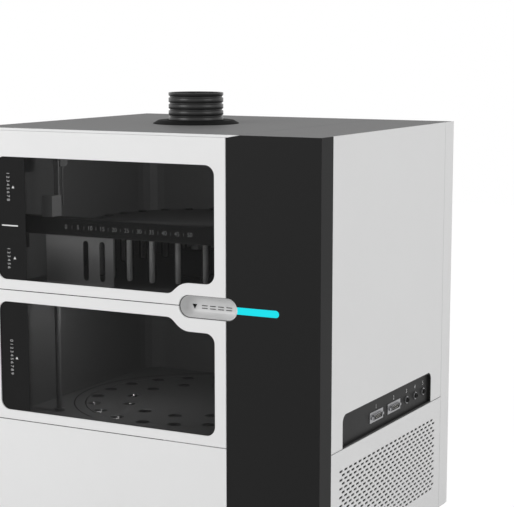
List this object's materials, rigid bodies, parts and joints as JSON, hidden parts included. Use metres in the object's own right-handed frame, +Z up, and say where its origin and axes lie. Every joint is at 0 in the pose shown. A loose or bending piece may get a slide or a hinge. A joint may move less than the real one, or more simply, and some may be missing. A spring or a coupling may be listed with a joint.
{
  "type": "chemical oxygen demand analyzer",
  "caption": "Bench analyzer cabinet with two glazed side-hinged doors over a tube carousel and a sample tray, black column with light bar, exhaust collar and port bay.",
  "frame": {"origin": "on the bench under the middle of the cabinet, at the feet's undersides", "axes": "+X to the right seen from the front, +Y to the rear, +Z up"},
  "size_m": [0.7, 0.59, 0.8482],
  "materials": {
    "white_cover": "satin powder coat",
    "grey_cover": "satin powder coat",
    "black_cover": "satin",
    "black_plastic": "matte",
    "rubber": "matte",
    "tinted_glass": "gloss",
    "clear_glass": "gloss",
    "pull_grey": "satin",
    "light": "emissive",
    "steel": "brushed",
    "frame_metal": "galvanised",
    "chamber_sheet": "satin",
    "tray_metal": "satin",
    "vial_cap": "matte",
    "dark_beam": "anodised",
    "motor_black": "satin",
    "board_green": "satin",
    "pump_body": "satin"
  },
  "bodies": {
    "cabinet": {"base_tray": "grey_cover", "feet": "rubber", "frame": "frame_metal", "left_side_panel": "white_cover", "right_upper_panel": "white_cover", "right_lower_panel": "white_cover", "rear_cover": "white_cover", "top_cover_left": "grey_cover", "top_cover_right": "grey_cover", "front_top_trim": "white_cover", "service_panel": "white_cover", "bulkhead": "frame_metal", "partition": "frame_metal", "column_cover": "black_cover", "light_bar": "light", "pull_cup": "pull_grey", "hinge_set": "steel", "door_gaskets": "rubber", "strike_plates": "steel", "chamber_liners": "chamber_sheet", "deck": "frame_metal", "sample_well": "chamber_sheet", "guide_post": "steel", "gantry_beam": "dark_beam", "tube_guard": "chamber_sheet", "drive_motors": "motor_black", "shaft_bearings": "steel", "exhaust_collar": "black_plastic", "fan_frames": "black_plastic", "port_bay": "black_plastic", "data_ports": "steel", "port_inserts": "black_plastic", "rear_pans": "frame_metal", "power_inlet": "black_plastic", "fluid_fittings": "pump_body", "power_supply": "frame_metal", "control_board": "board_green", "reagent_pumps": "pump_body"},
    "upper_door": {"upper_door_frame": "white_cover", "upper_door_bezel": "black_plastic", "upper_door_pane": "tinted_glass", "upper_door_back": "grey_cover", "upper_door_catch": "steel"},
    "lower_door": {"lower_door_frame": "white_cover", "lower_door_bezel": "black_plastic", "lower_door_pane": "tinted_glass", "lower_door_back": "grey_cover", "lower_door_catch": "steel"},
    "sample_tray": {"tray_plate": "tray_metal", "tray_carrier": "tray_metal", "sample_vials": "vial_cap"},
    "reaction_carousel": {"carousel_plate": "tray_metal", "carousel_shaft": "steel", "reaction_tubes": "clear_glass"},
    "probe_carriage": {"carriage": "dark_beam"},
    "probe_lift": {"probe": "dark_beam"},
    "exhaust_impeller": {"exhaust_rotor": "black_plastic"},
    "cooling_impeller": {"cooling_rotor": "black_plastic"},
    "rocker": {"power_rocker": "black_plastic"}
  },
  "joints": [
    {"name": "upper_door_hinge", "type": "hinge", "parent": "cabinet", "child": "upper_door", "pos_m": [-0.343, -0.288, 0.64], "axis": [0, 0, -1], "range_deg": [0, 110]},
    {"name": "lower_door_hinge", "type": "hinge", "parent": "cabinet", "child": "lower_door", "pos_m": [-0.343, -0.288, 0.374], "axis": [0, 0, -1], "range_deg": [0, 110]},
    {"name": "tray_turn", "type": "hinge", "parent": "cabinet", "child": "sample_tray", "pos_m": [-0.056, 0, 0.22], "axis": [0, 0, 1], "continuous": true},
    {"name": "carousel_turn", "type": "hinge", "parent": "cabinet", "child": "reaction_carousel", "pos_m": [-0.056, 0, 0.58], "axis": [0, 0, 1], "continuous": true},
    {"name": "carriage_travel", "type": "slide", "parent": "cabinet", "child": "probe_carriage", "axis": [1, 0, 0], "range_m": [-0.04, 0.34]},
    {"name": "probe_plunge", "type": "slide", "parent": "probe_carriage", "child": "probe_lift", "axis": [0, 0, -1], "range_m": [0, 0.07]},
    {"name": "exhaust_spin", "type": "hinge", "parent": "cabinet", "child": "exhaust_impeller", "pos_m": [-0.056, 0, 0.775], "axis": [0, 0, 1], "continuous": true},
    {"name": "cooling_spin", "type": "hinge", "parent": "cabinet", "child": "cooling_impeller", "pos_m": [0.335, 0.00325, 0.1452], "axis": [1, 0, 0], "continuous": true},
    {"name": "rocker_tilt", "type": "hinge", "parent": "cabinet", "child": "rocker", "pos_m": [0.294, 0.279, 0.09], "axis": [-1, 0, 0], "range_deg": [0, 16]}
  ]
}
